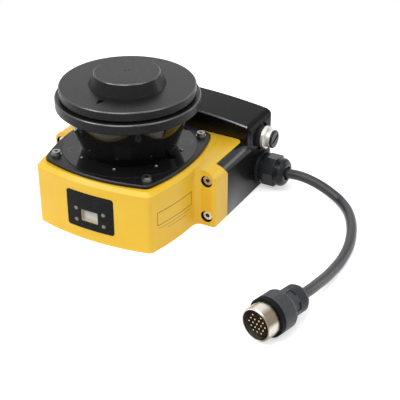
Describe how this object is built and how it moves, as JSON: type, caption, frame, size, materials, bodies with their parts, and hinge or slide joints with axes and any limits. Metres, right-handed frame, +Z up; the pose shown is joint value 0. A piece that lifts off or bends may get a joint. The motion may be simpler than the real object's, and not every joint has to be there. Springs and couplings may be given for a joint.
{
  "type": "safety laser scanner",
  "caption": "Yellow cast safety laser scanner with a dark conical window, black cap, black connection block, capped round socket and short cable ending in a round plug.",
  "frame": {"origin": "on the scan axis, at the flat base face the unit stands on", "axes": "+X to the unit's right seen from the front, +Y to the rear connection block, +Z up along the scan axis; the front panel faces -Y"},
  "size_m": [0.2334, 0.1906, 0.1045],
  "materials": {
    "housing_yellow": "satin powder coat, warm signal yellow",
    "block_black": "semi-gloss black powder coat",
    "head_black": "semi-gloss moulded black plastic",
    "window_dark": "polished infrared-passing plastic",
    "panel_black": "glossy printed panel foil",
    "seal_rubber": "soft black seal",
    "steel_screws": "plain stainless screws",
    "nickel": "nickel-plated brass",
    "motor_metal": "machined aluminium",
    "bearing_steel": "ground steel",
    "winding": "enamelled copper wire on laminations",
    "carrier_grey": "moulded grey plastic",
    "mirror_face": "front-surface mirror",
    "encoder_film": "etched thin disc",
    "optic_black": "black anodised",
    "lens_glass": "coated glass",
    "tube_brass": "turned brass",
    "board_green": "solder-masked board",
    "display_pane": "clear cover over a pale display",
    "lens_clear": "clear moulded lamp lens",
    "cap_grey": "dark grey moulded plastic",
    "gland_grey": "dark grey moulded plastic, smooth",
    "cable_jacket": "smooth dark grey jacket",
    "plug_grey": "dark grey satin",
    "insert_dark": "dark moulded insert",
    "pin_gold": "gold-plated contacts"
  },
  "bodies": {
    "housing": {"base_housing": "housing_yellow", "window_gasket": "seal_rubber", "flange_plate": "head_black", "flange_screws": "steel_screws", "flange_washers": "steel_screws", "scan_window": "window_dark", "window_lamps": "lens_clear", "lamp_board": "board_green", "head_frame": "head_black", "top_cap": "head_black", "cap_seal": "seal_rubber", "cap_screws": "steel_screws", "motor_base": "motor_metal", "motor_screws": "steel_screws", "motor_stator": "winding", "motor_bearings": "bearing_steel", "encoder_sensor": "carrier_grey", "lens_barrel": "optic_black", "receiver_lens": "lens_glass", "laser_tube": "tube_brass", "laser_lens": "lens_glass", "laser_diode": "bearing_steel", "detector_board": "board_green", "main_board": "board_green", "board_standoffs": "nickel", "board_screws": "steel_screws", "link_connector": "carrier_grey", "front_panel": "panel_black", "display_glass": "display_pane", "display_module": "carrier_grey", "display_board": "board_green", "led_lenses": "lens_clear", "ear_screws": "steel_screws", "block_gasket": "seal_rubber", "io_block": "block_black", "io_cover": "block_black", "io_cover_screws": "steel_screws", "io_board": "board_green", "socket_shell": "nickel", "socket_seal": "seal_rubber", "socket_nut": "nickel", "socket_insert": "insert_dark", "gland_seal": "seal_rubber", "gland_body": "gland_grey", "gland_locknut": "gland_grey", "gland_nut": "gland_grey", "gland_grommet": "seal_rubber", "cable": "cable_jacket", "plug_clamp_nut": "plug_grey", "plug_body": "plug_grey", "plug_ring": "seal_rubber", "plug_shell": "nickel", "plug_insert": "insert_dark", "plug_pins": "pin_gold"},
    "rotor": {"rotor_bell": "motor_metal", "rotor_shaft": "bearing_steel", "mirror_drum": "carrier_grey", "scan_mirror": "mirror_face", "encoder_disc": "encoder_film"},
    "socket_cap": {"socket_cap": "cap_grey"}
  },
  "joints": [
    {"name": "mirror_spin", "type": "hinge", "parent": "housing", "child": "rotor", "pos_m": [0, 0, 0.09], "axis": [0, 0, 1], "continuous": true},
    {"name": "socket_cap_off", "type": "slide", "parent": "housing", "child": "socket_cap", "axis": [1, 0, 0], "range_m": [0, 0.03]}
  ]
}
